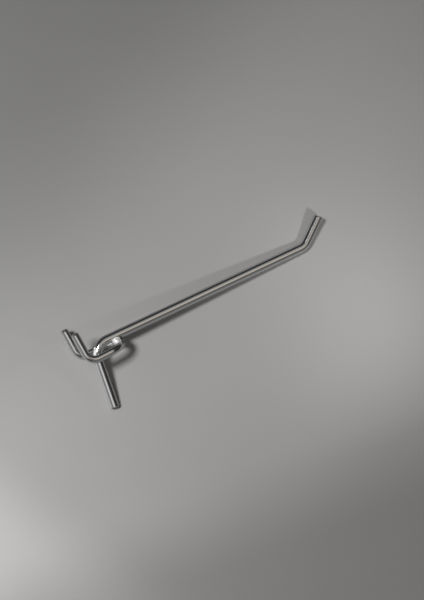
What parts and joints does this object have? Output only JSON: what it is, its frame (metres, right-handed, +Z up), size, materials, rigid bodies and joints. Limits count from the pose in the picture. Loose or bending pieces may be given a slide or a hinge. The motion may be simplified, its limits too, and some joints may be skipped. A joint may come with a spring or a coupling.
{
  "type": "pegboard hook",
  "caption": "Welded wire hook for a pegboard: round arm with an upturned tip, a leg on the board, and a U of thinner wire with pegs through the holes.",
  "frame": {"origin": "on the board's front face, midway between the two holes, at the height of the holes' centres", "axes": "+X away from the board along the arm, +Z up, +Y to the left as seen from the board"},
  "size_m": [0.1787, 0.0298, 0.0659],
  "materials": {
    "main_wire": "bright zinc plating on drawn steel wire",
    "back_wire": "bright zinc plating on drawn steel wire"
  },
  "bodies": {
    "root": {"main_wire": "main_wire", "back_wire": "back_wire"}
  },
  "joints": []
}
